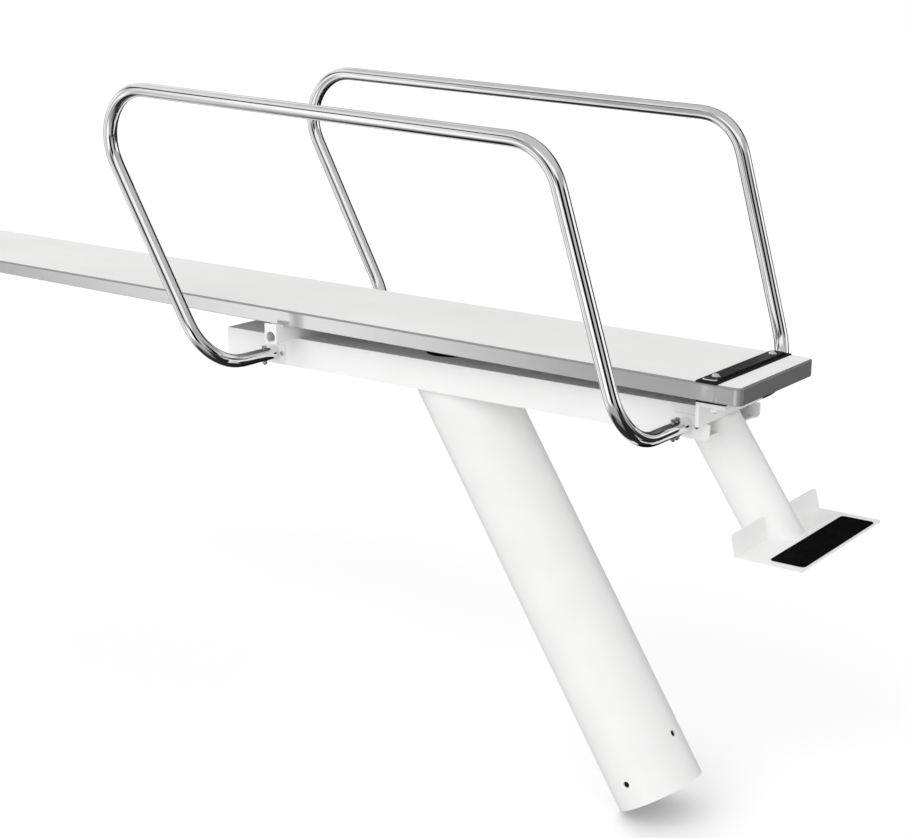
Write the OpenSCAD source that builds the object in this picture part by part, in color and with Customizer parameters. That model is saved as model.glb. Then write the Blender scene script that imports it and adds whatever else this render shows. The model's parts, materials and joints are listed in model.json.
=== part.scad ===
// Diving stand: a raked pedestal, a box frame, a springboard on a fixed fulcrum, handrails and a step.
// Millimetres. The origin is the centre of the pedestal's foot. +Z is up, the board's tip points along -X.
// Distances called "from the rear" are measured forward from the rear end of the board.

/* [Board] */
// Length of the board
board_l = 4267; // [3660:1:4880]
// Width of the board
board_w = 508; // [457:1:610]
// Thickness of the board behind the fulcrum
board_t = 56; // [48:0.5:70]
// Thickness of the board at its tip
board_tip_t = 46; // [36:0.5:56]
// Radius of the board's upright corners
board_corner_r = 22; // [8:1:40]
// Angle at which the board climbs towards its tip
board_rise = 0.75; // [0:0.01:1.5]
// Thickness of the glass-fibre skin round the core
skin_t = 3; // [1.5:0.1:5]
// Thickness of the non-slip coat
coat_t = 1; // [0.5:0.1:2.5]
// Bare border between the non-slip coat and the edges of the board
coat_border = 5; // [2:1:7]

/* [Hold-down] */
// Distance of the hold-down bolts from the rear
bolt_line = 115; // [109:1:117]
// Distance between the two hold-down bolts
bolt_spacing = 381; // [330:1:381]
// Diameter of the hold-down bolts
bolt_d = 16; // [12:1:18]
// Length of the hold-down plate across the board
plate_l = 482; // [450:1:500]
// Width of the hold-down plate
plate_w = 50; // [45:1:60]
// Thickness of the hold-down plate
plate_t = 6; // [4:0.5:10]
// Radius of the corners of the hold-down plate
plate_corner_r = 14; // [4:1:20]
// Width of the rubber pad under the hold-down plate
pad_w = 76; // [64:1:90]
// Thickness of the rubber pad under the hold-down plate
pad_t = 3; // [2:0.5:6]
// Thickness of the rubber pad between the board and the rear angle
rear_pad_t = 16.5; // [10:0.5:30]

/* [Frame] */
// Distance of the frame's front end from the rear
frame_front = 2159; // [2060:1:2310]
// Distance of the rear ends of the frame's webs from the rear
frame_rear = 167; // [161:1:169]
// Width of the frame over its webs
frame_w = 346; // [336:1:370]
// Height of the frame
frame_h = 107; // [100:1:125]
// Thickness of the frame's webs
web_t = 8; // [5:0.5:10]
// Thickness of the frame's top and bottom plates
cover_t = 6; // [4:0.5:10]
// Length of the web's tabs under the rear angle
tab_l = 28; // [24:1:40]
// Radius of the rounded lower corners of the webs
web_corner_r = 20; // [8:1:23]
// Thickness of the ribs inside the frame
rib_t = 6; // [4:0.5:10]
// Diameter of the round opening in the top plate
access_d = 200; // [150:1:260]
// Distance of its centre behind the pedestal's axis
access_back = 30; // [0:1:40]

/* [Rear angle] */
// Length of the rear angle across the frame
angle_l = 430; // [420:1:500]
// Width of the rear angle's flange
angle_flange = 100; // [90:1:110]
// Height of the rear angle's upright leg
angle_leg = 79; // [70:1:84]
// Thickness of the rear angle
angle_t = 12.7; // [8:0.1:16]

/* [Fulcrum] */
// Distance of the fulcrum bar's centre from the rear
fulcrum_x = 1835; // [1790:1:1850]
// Side of the square fulcrum bar
bar_side = 56; // [50:1:70]
// Wall of the fulcrum bar
bar_wall = 5; // [3:0.5:8]
// Length of the fulcrum bar over its end plates
bar_l = 582; // [560:1:640]
// Thickness of the rubber strip on the fulcrum bar
strip_t = 7.5; // [3:0.5:12]
// Height of the fulcrum bar's end plates
end_plate_h = 73; // [60:1:90]
// Thickness of the fulcrum bar's end plates
end_plate_t = 6; // [4:0.5:10]
// Height of the round hole's centre over the frame
end_hole_h = 22; // [22:0.5:30]
// Diameter of the round hole in the end plates
end_hole_d = 41; // [20:1:42]

/* [Pedestal] */
// Length of the pedestal along its axis, from its foot to the underside of the frame
pedestal_l = 1559; // [1200:1:2000]
// Outside diameter of the pedestal
pedestal_d = 310; // [273:1:316]
// Wall of the pedestal
pedestal_wall = 6.4; // [4:0.1:10]
// Angle between the pedestal and the vertical
pedestal_rake = 32.5; // [25:0.5:36]
// Distance from the rear to the point where the pedestal's axis meets the frame
pedestal_x = 1197; // [1110:1:1260]
// Distance of the sideways anchor bolt hole from the foot
anchor_low = 85; // [60:1:110]
// Distance of the fore-and-aft anchor bolt hole from the foot
anchor_high = 169; // [150:1:260]
// Diameter of the anchor bolt holes
anchor_hole_d = 22; // [14:1:28]
// Depth of the socket in the pedestal, the stretch of its bore that is sized for the anchor
socket_depth = 420; // [380:1:600]
// Depth of the shoulder where the socket ends and the narrower bore begins
socket_step = 1; // [0.6:0.1:1.5]

/* [Handrails] */
// Outside diameter of the handrail tube
rail_d = 48.3; // [38:0.1:51]
// Wall of the handrail tube
rail_wall = 3; // [2:0.1:4]
// Radius of the handrail's bends, to the tube's centre line
rail_bend_r = 175; // [140:1:178]
// Distance of the front rail end from the rear
rail_front = 1919; // [1906:1:1970]
// Distance of the rear rail end from the rear
rail_rear = 217; // [217:1:231]
// Distance of the front upper corner from the rear
rail_top_front = 2474; // [2310:1:2610]
// Distance of the rear upper corner from the rear
rail_top_rear = 479; // [410:1:610]
// Height of the front upper corner over the rail ends
rail_rise_front = 969; // [850:1:1050]
// Height of the rear upper corner over the rail ends
rail_rise_rear = 874; // [780:1:950]
// Distance of each handrail's foot from the middle of the stand
rail_half = 535; // [510:1:600]
// Angle at which each handrail leans outwards
rail_lean = 1.9; // [0:0.1:5]
// Angle at which the handrails spread towards the rear
rail_splay = 0.9; // [0:0.1:2]
// Height of the rail ends over the underside of the frame
rail_seat_h = 45; // [40:1:60]

/* [Rail fastenings] */
// Length of the spigot's flange along the frame
flange_l = 98; // [90:1:98]
// Height of the spigot's flange
flange_h = 64; // [56:1:70]
// Thickness of the spigot's flange
flange_t = 8; // [5:0.5:10]
// Wall of the spigot tube
spigot_wall = 5; // [3:0.5:8]
// Length of the spigot tube beyond its flange
spigot_l = 110; // [100:1:125]
// Distance between the two bolts of a flange
flange_bolt_spacing = 80; // [76:1:82]
// Distance of the upright rail bolt from the frame's web
rail_bolt_y = 61; // [56:1:68]
// Distance from it to the second bolt, which only the rear rail ends have
rail_bolt_step = 25; // [24:1:30]
// Diameter of the bolts of the rails and the flanges
small_bolt_d = 10; // [8:1:10]

/* [Step] */
// Distance from the rear to the point where the step tube's axis meets the frame's underside
step_x = 199; // [199:1:205]
// Outside diameter of the step tube
step_d = 168; // [140:1:170]
// Wall of the step tube
step_wall = 5; // [3:0.5:8]
// Angle between the step tube and the vertical
step_rake = 34.5; // [28:0.5:38]
// Height from the top of the tread up to the underside of the frame
step_drop = 303; // [240:1:400]
// Thickness of the step plate
tread_t = 6; // [4:0.5:10]
// Width of the step plate
tread_w = 596; // [560:1:620]
// Depth of the flat tread
tread_depth = 219; // [200:1:260]
// Distance of the tread's front edge behind the rear end of the board
tread_front = -22; // [-32:1:-20]
// Slant height of the wings beside the tube
wing_h = 66; // [50:1:90]
// Angle at which the wings lean forwards
wing_lean = 14; // [8:1:30]
// Radius of the upper corners of the wings
wing_r = 16; // [8:1:30]
// Length of the rubber on the tread
rubber_l = 518; // [450:1:520]
// Depth of the rubber on the tread
rubber_depth = 112; // [90:1:120]
// Distance from the rubber to the tread's rear edge
rubber_edge = 6; // [4:1:20]
// Radius of the corners of the rubber on the tread
rubber_corner_r = 8; // [4:1:20]
// Thickness of the rubber on the tread
rubber_t = 3; // [2:0.5:6]

/* [Hidden] */
$fn = 64;

// Named clearances
fit_gap = 0.2;
weld_gap = 0.3;
bolt_play = 1;
eps = 0.5;
// A bent stretch of tube is a trace wider and thicker than a straight one, which laps into it
bend_swell = 0.4;
bend_lap = 1;

// Sizes of the fasteners as multiples of their bolt's diameter
nut_af = 1.5;
nut_h = 0.82;
washer_od = 2;
washer_t = 0.15;
dome_d = 1.75;
dome_h = 0.6;
head_h = 0.64;
// Thread that stands out beyond a nut
thread_out = 4;

// Heights and places that follow from the driving sizes
frame_bottom = pedestal_l * cos(pedestal_rake);
frame_top = frame_bottom + frame_h;
rear_x = pedestal_x - pedestal_l * sin(pedestal_rake);
bar_top = frame_top + bar_side;
board_rear_z = bar_top + strip_t - fulcrum_x * tan(board_rise);
angle_top = board_rear_z + bolt_line * tan(board_rise) - rear_pad_t;
tab_top = angle_top - angle_leg;
web_y = frame_w / 2;
inner_w = frame_w - 2 * web_t;
rail_z = frame_bottom + rail_seat_h;
rail_mid = (rail_front + rail_rear) / 2;
tread_top = frame_bottom - step_drop;
socket_d = pedestal_d - 2 * pedestal_wall + 2 * socket_step;
far = 3 * frame_w;

// Places of the fastenings: square to the board, on the flanges and on the rails
coat_top = board_t + coat_t;
hold_down_top = coat_top + pad_t + plate_t;
hold_down_bottom = -rear_pad_t - angle_t - fit_gap;
flange_grip = flange_t + web_t;
rail_crest = rail_d / 2 + fit_gap;
rail_washer_t = washer_t * small_bolt_d;

// Place forward of the board's rear end, as an X coordinate
function ahead(d) = rear_x - d;
// Distance of a handrail from the middle of the stand, at a place along it and a height over its ends
function rail_y(d, h) = rail_half + (rail_mid - d) * tan(rail_splay) + h * tan(rail_lean);
// Corners of a handrail's centre line on side s, from its front end to its rear end
function rail_path(s) = [
    [ahead(rail_front), s * (web_y + flange_t + weld_gap), rail_z],
    [ahead(rail_front), s * rail_y(rail_front, 0), rail_z],
    [ahead(rail_top_front), s * rail_y(rail_top_front, rail_rise_front), rail_z + rail_rise_front],
    [ahead(rail_top_rear), s * rail_y(rail_top_rear, rail_rise_rear), rail_z + rail_rise_rear],
    [ahead(rail_rear), s * rail_y(rail_rear, 0), rail_z],
    [ahead(rail_rear), s * (web_y + flange_t + weld_gap), rail_z]
];
function unit(v) = v / norm(v);
function turn_at(p, i) = acos(unit(p[i] - p[i - 1]) * unit(p[i + 1] - p[i]));
// Length that the bend at corner i takes from the straights on both sides
function trim_at(p, i) = (i == 0 || i == len(p) - 1) ? 0 : rail_bend_r * tan(turn_at(p, i) / 2);

// Turns +Z to the direction v
module facing(v) {
    rotate([0, acos(unit(v).z), atan2(v.y, v.x)]) children();
}

// Square with rounded corners, centred
module rounded(w, h, r) {
    square([w - 2 * r, h], center = true);
    square([w, h - 2 * r], center = true);
    for (x = [-1, 1], y = [-1, 1])
        translate([x * (w / 2 - r), y * (h / 2 - r)]) circle(r);
}

module ring(d, wall) {
    difference() {
        circle(d = d);
        circle(d = d - 2 * wall);
    }
}

// Straight stretch i of the tube along path p, which laps into the bends at its ends
module straight(p, i) {
    dir = unit(p[i + 1] - p[i]);
    from = p[i] + dir * (i == 0 ? 0 : trim_at(p, i) - bend_lap);
    to = p[i + 1] - dir * (i == len(p) - 2 ? 0 : trim_at(p, i + 1) - bend_lap);
    translate(from) facing(dir) linear_extrude(norm(to - from)) ring(rail_d, rail_wall);
}

// Bend of the tube at corner i of path p
module bend(p, i) {
    u = unit(p[i] - p[i - 1]);
    w = unit(p[i + 1] - p[i]);
    n = unit(w - u * (u * w));
    c = p[i] - u * trim_at(p, i) + n * rail_bend_r;
    z = cross(-n, u);
    multmatrix([[-n.x, u.x, z.x, c.x], [-n.y, u.y, z.y, c.y], [-n.z, u.z, z.z, c.z], [0, 0, 0, 1]])
        rotate_extrude(angle = turn_at(p, i)) translate([rail_bend_r, 0])
            ring(rail_d + bend_swell, rail_wall + bend_swell);
}

// Frame of the board: origin at the middle of its rear end's lower edge, x backwards, z square to the board
module on_board() {
    translate([rear_x, 0, board_rear_z]) rotate([0, board_rise, 0]) children();
}

// Everything over the underside of the board, as a cutter
module over_board() {
    on_board() translate([-board_l / 2, 0, far / 2]) cube([2 * board_l, far, far], center = true);
}

// Frame of a raked tube that runs up and forward from where its axis meets height z
module raked(x, z, angle) {
    translate([x, 0, z]) rotate([0, -angle, 0]) children();
}

module hex(af, h) {
    cylinder(d = af / cos(30), h = h, $fn = 6);
}

module hex_nut(d, af, h) {
    difference() {
        hex(af, h);
        translate([0, 0, -eps]) cylinder(d = d + fit_gap, h = h + 2 * eps);
    }
}

module washer(d, od, h) {
    difference() {
        cylinder(d = od, h = h);
        translate([0, 0, -eps]) cylinder(d = d + bolt_play, h = h + 2 * eps);
    }
}

// Solid of the board, drawn smaller all round by inset
module board_solid(inset) {
    flat_x = -fulcrum_x;
    tip_x = -board_l + inset;
    top = board_t - inset;
    intersection() {
        translate([-board_l / 2, 0, -eps]) linear_extrude(board_t + 2 * eps)
            rounded(board_l - 2 * inset, board_w - 2 * inset, board_corner_r - inset);
        rotate([90, 0, 0]) linear_extrude(board_w, center = true) polygon([
            [-inset, inset],
            [-inset, top],
            [tip_x, top],
            [tip_x, board_t - board_tip_t + inset],
            [flat_x, inset]
        ]);
    }
}

module board_bolt_holes() {
    for (s = [-1, 1])
        translate([-bolt_line, s * bolt_spacing / 2, -board_t])
            cylinder(d = bolt_d + 2 * bolt_play, h = 3 * board_t);
}

module board_shell() {
    color("darkgray") on_board() difference() {
        board_solid(0);
        board_solid(skin_t);
        board_bolt_holes();
    }
}

module board_core() {
    color("burlywood") on_board() difference() {
        board_solid(skin_t + fit_gap);
        board_bolt_holes();
    }
}

// The coat covers the whole top, under the hold-down pad too
module board_tread() {
    color("gainsboro") on_board() difference() {
        translate([-board_l / 2, 0, board_t]) linear_extrude(coat_t)
            rounded(board_l - 2 * coat_border, board_w - 2 * coat_border, board_corner_r - coat_border);
        board_bolt_holes();
    }
}

module hold_down_plate() {
    color([0.22, 0.22, 0.24]) on_board() difference() {
        translate([-bolt_line, 0, coat_top + pad_t]) linear_extrude(plate_t)
            rounded(plate_w, plate_l, plate_corner_r);
        board_bolt_holes();
    }
}

module hold_down_pad() {
    color([0.08, 0.08, 0.08]) on_board() difference() {
        translate([-bolt_line, 0, coat_top]) linear_extrude(pad_t) rounded(pad_w, board_w, plate_t);
        board_bolt_holes();
    }
}

// The pad's top follows the board, and its flat underside lies on the rear angle
module rear_pad() {
    color([0.08, 0.08, 0.08]) difference() {
        translate([ahead(frame_rear), -angle_l / 2, angle_top])
            cube([angle_flange, angle_l, 2 * rear_pad_t]);
        over_board();
        on_board() board_bolt_holes();
    }
}

module hold_down_bolts() {
    dome_r = dome_d * bolt_d / 2;
    dome = dome_h * bolt_d;
    ball_r = (dome_r * dome_r + dome * dome) / (2 * dome);
    shank_end = hold_down_bottom - (washer_t + nut_h) * bolt_d - thread_out;
    color("lightgray") on_board() for (s = [-1, 1])
        translate([-bolt_line, s * bolt_spacing / 2, 0]) {
            translate([0, 0, hold_down_top]) intersection() {
                cylinder(r = dome_r, h = dome);
                translate([0, 0, dome - ball_r]) sphere(ball_r);
            }
            translate([0, 0, shank_end]) cylinder(d = bolt_d, h = hold_down_top - shank_end + eps);
        }
}

module hold_down_washers() {
    color("lightgray") on_board() for (s = [-1, 1])
        translate([-bolt_line, s * bolt_spacing / 2, hold_down_bottom - washer_t * bolt_d])
            washer(bolt_d, washer_od * bolt_d, washer_t * bolt_d);
}

module hold_down_nuts() {
    color("lightgray") on_board() for (s = [-1, 1])
        translate([-bolt_line, s * bolt_spacing / 2, hold_down_bottom - (washer_t + nut_h) * bolt_d])
            hex_nut(bolt_d, nut_af * bolt_d, nut_h * bolt_d);
}

module rear_angle() {
    color("whitesmoke") difference() {
        translate([ahead(frame_rear), 0, angle_top]) rotate([90, 0, 0])
            linear_extrude(angle_l, center = true) {
                translate([0, -angle_t]) square([angle_flange, angle_t]);
                translate([0, -angle_leg]) square([angle_t, angle_leg]);
            }
        for (s = [-1, 1])
            translate([ahead(bolt_line), s * bolt_spacing / 2, angle_top - 2 * angle_t])
                cylinder(d = bolt_d + 2 * bolt_play, h = 3 * angle_t);
    }
}

// Outline of a web: x along the stand, y up
module web_outline() {
    front = ahead(frame_front);
    rear = ahead(frame_rear - tab_l);
    difference() {
        translate([front, frame_bottom]) square([rear - front, frame_h]);
        translate([ahead(frame_rear), tab_top]) square([2 * tab_l, frame_h]);
        translate([front, frame_bottom]) corner_cut();
        translate([rear, frame_bottom]) mirror([1, 0]) corner_cut();
    }
}

// What a rounded lower left corner takes away
module corner_cut() {
    translate([-eps, -eps]) difference() {
        square(web_corner_r + eps);
        translate([web_corner_r + eps, web_corner_r + eps]) circle(web_corner_r);
    }
}

// Axes of the four flange bolts on one side
module at_flange_bolts() {
    for (d = [rail_front, rail_rear], k = [-1, 1])
        translate([ahead(d) + k * flange_bolt_spacing / 2, 0, rail_z]) rotate([90, 0, 0]) children();
}

module side_plate(s) {
    color("whitesmoke") difference() {
        translate([0, s * (web_y - web_t / 2), 0]) rotate([90, 0, 0])
            linear_extrude(web_t, center = true) web_outline();
        at_flange_bolts() cylinder(d = small_bolt_d + bolt_play, h = far, center = true);
    }
}

module side_plate_left() {
    side_plate(-1);
}

module side_plate_right() {
    side_plate(1);
}

module top_plate() {
    front = ahead(frame_front);
    color("whitesmoke") difference() {
        translate([front, -inner_w / 2, frame_top - cover_t])
            cube([frame_front - frame_rear, inner_w, cover_t]);
        translate([access_back - frame_top * tan(pedestal_rake), 0, frame_top - 2 * cover_t])
            cylinder(d = access_d, h = 3 * cover_t);
    }
}

module pedestal_space(d) {
    raked(0, 0, pedestal_rake) translate([0, 0, -eps]) cylinder(d = d, h = 2 * pedestal_l);
}

module step_space(d) {
    raked(ahead(step_x), frame_bottom, step_rake) cylinder(d = d, h = 2 * pedestal_l, center = true);
}

module bottom_plate() {
    front = ahead(frame_front - web_corner_r);
    rear = ahead(frame_rear - tab_l + web_corner_r);
    color("whitesmoke") difference() {
        translate([front, -inner_w / 2, frame_bottom]) cube([rear - front, inner_w, cover_t]);
        pedestal_space(pedestal_d + 2 * weld_gap);
        step_space(step_d + 2 * weld_gap);
    }
}

module front_plate() {
    color("whitesmoke")
        translate([ahead(frame_front), -inner_w / 2, frame_bottom + web_corner_r])
            cube([cover_t, inner_w, frame_h - web_corner_r - cover_t]);
}

module frame_ribs() {
    rear_d = frame_rear + 2 * angle_flange;
    color("whitesmoke") for (d = [fulcrum_x, rear_d])
        translate([ahead(d) - rib_t / 2, -inner_w / 2, frame_bottom + cover_t])
            cube([rib_t, inner_w, frame_h - 2 * cover_t]);
}

module at_fulcrum() {
    translate([ahead(fulcrum_x), 0, frame_top]) children();
}

module fulcrum_bar() {
    inside = bar_side - 2 * bar_wall;
    color("whitesmoke") at_fulcrum() translate([0, 0, bar_side / 2]) rotate([90, 0, 0])
        linear_extrude(bar_l - 2 * end_plate_t, center = true) difference() {
            square(bar_side, center = true);
            square(inside, center = true);
        }
}

module fulcrum_end_plates() {
    drop = (end_plate_h - bar_side - strip_t) / 4;
    color("whitesmoke") at_fulcrum() for (s = [-1, 1])
        translate([0, s * (bar_l - end_plate_t) / 2, 0]) rotate([90, 0, 0])
            linear_extrude(end_plate_t, center = true) difference() {
                translate([-bar_side / 2, -drop]) square([bar_side, end_plate_h]);
                translate([0, end_hole_h]) circle(d = end_hole_d);
            }
}

// Rubber strip as wide as the board, with a top that follows the board
module fulcrum_pad() {
    color("lightgray") difference() {
        at_fulcrum() translate([-bar_side / 2, -board_w / 2, bar_side])
            cube([bar_side, board_w, 3 * strip_t]);
        over_board();
    }
}

module pedestal_tube() {
    color("whitesmoke") difference() {
        raked(0, 0, pedestal_rake) difference() {
            linear_extrude(2 * pedestal_l) ring(pedestal_d, pedestal_wall);
            translate([0, 0, -eps]) cylinder(d = socket_d, h = socket_depth + eps);
            translate([0, 0, anchor_low]) rotate([90, 0, 0])
                cylinder(d = anchor_hole_d, h = 2 * pedestal_d, center = true);
            translate([0, 0, anchor_high]) rotate([0, 90, 0])
                cylinder(d = anchor_hole_d, h = 2 * pedestal_d, center = true);
        }
        translate([-2 * pedestal_l, -pedestal_l, frame_top - cover_t])
            cube([4 * pedestal_l, 2 * pedestal_l, 2 * pedestal_l]);
    }
}

// Distances from the web of the upright bolts through the rail end at d
function bolt_places(d) = d == rail_rear ? [rail_bolt_y, rail_bolt_y + rail_bolt_step] : [rail_bolt_y];

// Axes of the upright bolts through the rail ends on side s
module at_rail_bolts(s) {
    for (d = [rail_front, rail_rear])
        for (y = bolt_places(d))
            translate([ahead(d), s * (web_y + y), rail_z]) children();
}

module rail(s) {
    p = rail_path(s);
    color([0.8, 0.8, 0.82]) difference() {
        union() {
            for (i = [0:len(p) - 2])
                straight(p, i);
            for (i = [1:len(p) - 2])
                bend(p, i);
        }
        at_rail_bolts(s) cylinder(d = small_bolt_d + bolt_play, h = 2 * rail_d, center = true);
    }
}

module rail_left() {
    rail(-1);
}

module rail_right() {
    rail(1);
}

module rail_spigot(d) {
    spigot_d = rail_d - 2 * rail_wall - 2 * fit_gap;
    difference() {
        union() {
            linear_extrude(flange_t) rounded(flange_l, flange_h, flange_t);
            translate([0, 0, flange_t]) linear_extrude(spigot_l) ring(spigot_d, spigot_wall);
        }
        for (k = [-1, 1])
            translate([k * flange_bolt_spacing / 2, 0, -eps])
                cylinder(d = small_bolt_d + bolt_play, h = flange_t + 2 * eps);
        for (y = bolt_places(d))
            translate([0, 0, y]) rotate([90, 0, 0])
                cylinder(d = small_bolt_d + bolt_play, h = rail_d, center = true);
    }
}

module rail_spigots() {
    color("whitesmoke") for (d = [rail_front, rail_rear], s = [-1, 1])
        translate([ahead(d), s * web_y, rail_z]) rotate([-s * 90, 0, 0]) rail_spigot(d);
}

// Hexagon bolt: the head's underside at z = 0, the shank along -Z
module hex_bolt(d, grip) {
    hex(nut_af * d, head_h * d);
    translate([0, 0, -grip]) cylinder(d = d, h = grip + eps);
}

// Flange bolt axes with +Z outwards, origin on the flange's outer face
module at_flange_faces() {
    for (s = [-1, 1])
        for (d = [rail_front, rail_rear], k = [-1, 1])
            translate([ahead(d) + k * flange_bolt_spacing / 2, s * (web_y + flange_t), rail_z])
                rotate([-s * 90, 0, 0]) children();
}

module spigot_bolts() {
    color("lightgray") at_flange_faces()
        hex_bolt(small_bolt_d, flange_grip + nut_h * small_bolt_d + thread_out);
}

module spigot_nuts() {
    color("lightgray") at_flange_faces() translate([0, 0, -flange_grip - nut_h * small_bolt_d])
        hex_nut(small_bolt_d, nut_af * small_bolt_d, nut_h * small_bolt_d);
}

module rail_bolts() {
    grip = 2 * (rail_crest + rail_washer_t) + nut_h * small_bolt_d + thread_out;
    color("lightgray") for (s = [-1, 1])
        at_rail_bolts(s) translate([0, 0, rail_crest + rail_washer_t]) hex_bolt(small_bolt_d, grip);
}

module rail_washers() {
    color("lightgray") for (s = [-1, 1], side = [0, 1])
        at_rail_bolts(s) mirror([0, 0, side]) translate([0, 0, rail_crest])
            washer(small_bolt_d, washer_od * small_bolt_d, rail_washer_t);
}

module rail_nuts() {
    color("lightgray") for (s = [-1, 1])
        at_rail_bolts(s) translate([0, 0, -rail_crest - rail_washer_t - nut_h * small_bolt_d])
            hex_nut(small_bolt_d, nut_af * small_bolt_d, nut_h * small_bolt_d);
}

// Slab between two heights, wide enough for the step tube
module slab(low, high) {
    translate([ahead(step_x) - step_drop, -step_d, low]) cube([2 * step_drop, 2 * step_d, high - low]);
}

module step_tube() {
    color("whitesmoke") intersection() {
        raked(ahead(step_x), frame_bottom, step_rake) translate([0, 0, -2 * step_drop])
            linear_extrude(4 * step_drop) ring(step_d, step_wall);
        slab(tread_top, tab_top - tread_t);
    }
}

module step_cap() {
    color("whitesmoke") intersection() {
        step_space(step_d);
        slab(tab_top - tread_t, tab_top);
    }
}

// Flat tread with a tongue under the tube, and two wings that lie along the tube's sides
module step_plate() {
    front = ahead(tread_front);
    color("whitesmoke") {
        translate([front, -tread_w / 2, tread_top - tread_t]) cube([tread_depth, tread_w, tread_t]);
        intersection() {
            step_space(step_d);
            slab(tread_top - tread_t, tread_top);
        }
        difference() {
            translate([front, 0, tread_top]) rotate([0, -wing_lean, 0]) rotate([90, 0, 90])
                linear_extrude(tread_t) wing_outline();
            step_space(step_d + 2 * weld_gap);
            slab(tread_top - 2 * tread_t, tread_top - tread_t);
        }
    }
}

// Both wings in one outline: x across the step, y up the slant
module wing_outline() {
    difference() {
        translate([-tread_w / 2, -tread_t / 2]) square([tread_w, wing_h + tread_t / 2]);
        for (s = [0, 1])
            mirror([s, 0]) translate([-tread_w / 2 - eps, wing_h + eps]) mirror([0, 1]) difference() {
                square(wing_r + eps);
                translate([wing_r + eps, wing_r + eps]) circle(wing_r);
            }
    }
}

module step_tread() {
    rear = ahead(tread_front) + tread_depth - rubber_edge;
    color([0.06, 0.06, 0.06]) translate([rear - rubber_depth / 2, 0, tread_top])
        linear_extrude(rubber_t) rounded(rubber_depth, rubber_l, rubber_corner_r);
}

board_shell();
board_core();
board_tread();
hold_down_plate();
hold_down_pad();
rear_pad();
hold_down_bolts();
hold_down_washers();
hold_down_nuts();
rear_angle();
side_plate_left();
side_plate_right();
top_plate();
bottom_plate();
front_plate();
frame_ribs();
fulcrum_bar();
fulcrum_end_plates();
fulcrum_pad();
pedestal_tube();
rail_left();
rail_right();
rail_spigots();
spigot_bolts();
spigot_nuts();
rail_bolts();
rail_washers();
rail_nuts();
step_tube();
step_cap();
step_plate();
step_tread();
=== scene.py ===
"""Looks of a springboard diving stand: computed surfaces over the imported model, their finishes and a studio.

Metres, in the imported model's frame. The origin is the centre of the pedestal's foot and +Z is up. The board's
tip points along -X, and a diver who faces the tip has -Y on the left.
"""
import json
import math

import bmesh
import bpy
import numpy as np
from mathutils import Matrix, Vector


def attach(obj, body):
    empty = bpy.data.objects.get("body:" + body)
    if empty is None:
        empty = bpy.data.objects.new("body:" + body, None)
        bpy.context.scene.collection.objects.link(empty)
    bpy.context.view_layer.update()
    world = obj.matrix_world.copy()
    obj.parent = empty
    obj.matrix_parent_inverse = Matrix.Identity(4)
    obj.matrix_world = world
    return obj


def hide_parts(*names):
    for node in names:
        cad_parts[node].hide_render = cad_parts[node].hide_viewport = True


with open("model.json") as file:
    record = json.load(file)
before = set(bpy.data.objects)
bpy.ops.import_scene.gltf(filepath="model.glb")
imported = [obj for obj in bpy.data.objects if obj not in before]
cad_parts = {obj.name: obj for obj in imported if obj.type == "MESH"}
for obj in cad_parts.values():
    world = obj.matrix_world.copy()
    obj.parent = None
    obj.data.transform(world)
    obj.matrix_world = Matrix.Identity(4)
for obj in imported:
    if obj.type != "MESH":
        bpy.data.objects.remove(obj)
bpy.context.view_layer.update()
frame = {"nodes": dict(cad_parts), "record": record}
cad_nodes = frame["nodes"]

# Sizes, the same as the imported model's: the board, its coat and what holds it down
BOARD_L, BOARD_W, BOARD_T, TIP_T = 4.267, 0.508, 0.056, 0.046
BOARD_CORNER, BOARD_RISE, SKIN_T = 0.022, math.radians(0.75), 0.003
COAT_T, COAT_BORDER = 0.001, 0.005
BOLT_LINE, BOLT_SPACING, BOLT_D = 0.115, 0.381, 0.016
PLATE_L, PLATE_W, PLATE_T, PLATE_CORNER = 0.482, 0.050, 0.006, 0.014
PAD_W, PAD_T, REAR_PAD_T = 0.076, 0.003, 0.0165
# The frame, the fulcrum bar and its end plates
FRAME_W, FRAME_H, WEB_T, COVER_T, BASE_REAR = 0.346, 0.107, 0.008, 0.006, 0.159
ANGLE_T, ANGLE_LEG = 0.0127, 0.079
FULCRUM, BAR_SIDE, BAR_L, STRIP_T = 1.835, 0.056, 0.582, 0.0075
END_PLATE_H, END_PLATE_T, END_HOLE_D, END_HOLE_H = 0.073, 0.006, 0.041, 0.022
# The pedestal, its socket and the holes for its anchor bolts
PEDESTAL_L, PEDESTAL_D, PEDESTAL_WALL = 1.559, 0.310, 0.0064
PEDESTAL_RAKE, PEDESTAL_PLACE = math.radians(32.5), 1.197
SOCKET_DEPTH, SOCKET_EASE = 0.420, 0.001
ANCHOR_LOW, ANCHOR_HIGH, ANCHOR_HOLE_D = 0.085, 0.169, 0.022
# The handrails, their flanges and their bolts
RAIL_D, RAIL_WALL, RAIL_BEND = 0.0483, 0.003, 0.175
RAIL_FRONT, RAIL_REAR, RAIL_TOP_FRONT, RAIL_TOP_REAR = 1.919, 0.217, 2.474, 0.479
RAIL_RISE_FRONT, RAIL_RISE_REAR, RAIL_HALF = 0.969, 0.874, 0.535
RAIL_LEAN, RAIL_SPLAY, RAIL_SEAT = math.radians(1.9), math.radians(0.9), 0.045
FLANGE_T, FLANGE_BOLTS, SMALL_BOLT_D = 0.008, 0.080, 0.010
RAIL_BOLT_Y, RAIL_BOLT_STEP = 0.061, 0.025
# The step
STEP_PLACE, STEP_D, STEP_WALL, STEP_RAKE, STEP_DROP = 0.199, 0.168, 0.005, math.radians(34.5), 0.303
TREAD_T, TREAD_FRONT, TREAD_DEPTH = 0.006, 0.022, 0.219
RUBBER_L, RUBBER_W, RUBBER_EDGE, RUBBER_T = 0.518, 0.112, 0.006, 0.003
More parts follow.
